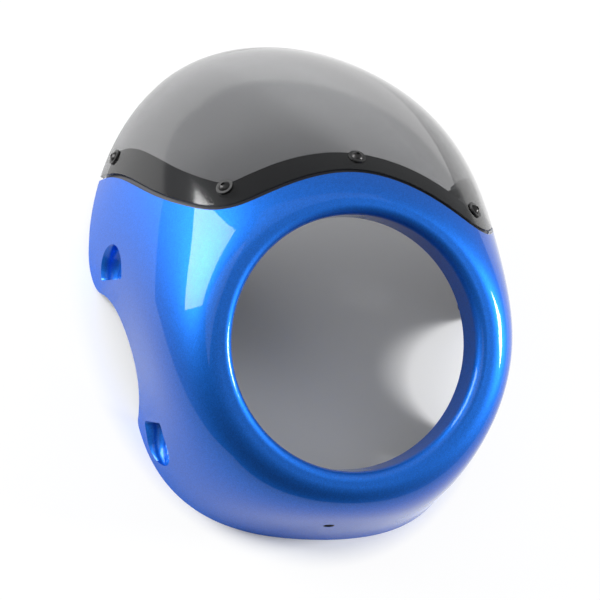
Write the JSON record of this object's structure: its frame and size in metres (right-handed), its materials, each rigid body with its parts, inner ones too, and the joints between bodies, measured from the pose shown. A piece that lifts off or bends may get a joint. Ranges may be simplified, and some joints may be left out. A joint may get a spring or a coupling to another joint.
{
  "type": "motorcycle headlight fairing",
  "caption": "Rounded motorcycle headlight fairing with a round lamp opening, fork cut-outs, side fixing recesses and a smoked bubble windscreen screwed to a ledge.",
  "frame": {"origin": "middle of the footprint, on the plane that the rear rim lies on", "axes": "+Z out of the rim plane towards the front of the lamp opening, +Y from the chin to the top of the screen, +X to the right seen from the front with the screen up; X = 0 is the mirror plane"},
  "size_m": [0.3644, 0.4671, 0.2114],
  "materials": {
    "cowl_paint": "metallic blue paint under clear coat",
    "smoked_acrylic": "clear smoked acrylic, polished",
    "screw_steel": "black oxide",
    "washer_plastic": "black, matt",
    "nut_rubber": "black, matt",
    "insert_brass": "plain"
  },
  "bodies": {
    "root": {"fairing_shell": "cowl_paint", "windscreen": "smoked_acrylic", "screen_screw_centre": "screw_steel", "screen_screw_right_inner": "screw_steel", "screen_screw_left_inner": "screw_steel", "screen_screw_right_outer": "screw_steel", "screen_screw_left_outer": "screw_steel", "screen_washer_centre": "washer_plastic", "screen_washer_right_inner": "washer_plastic", "screen_washer_left_inner": "washer_plastic", "screen_washer_right_outer": "washer_plastic", "screen_washer_left_outer": "washer_plastic", "well_nut_centre": "nut_rubber", "well_nut_right_inner": "nut_rubber", "well_nut_left_inner": "nut_rubber", "well_nut_right_outer": "nut_rubber", "well_nut_left_outer": "nut_rubber", "well_nut_insert_centre": "insert_brass", "well_nut_insert_right_inner": "insert_brass", "well_nut_insert_left_inner": "insert_brass", "well_nut_insert_right_outer": "insert_brass", "well_nut_insert_left_outer": "insert_brass"}
  },
  "joints": []
}
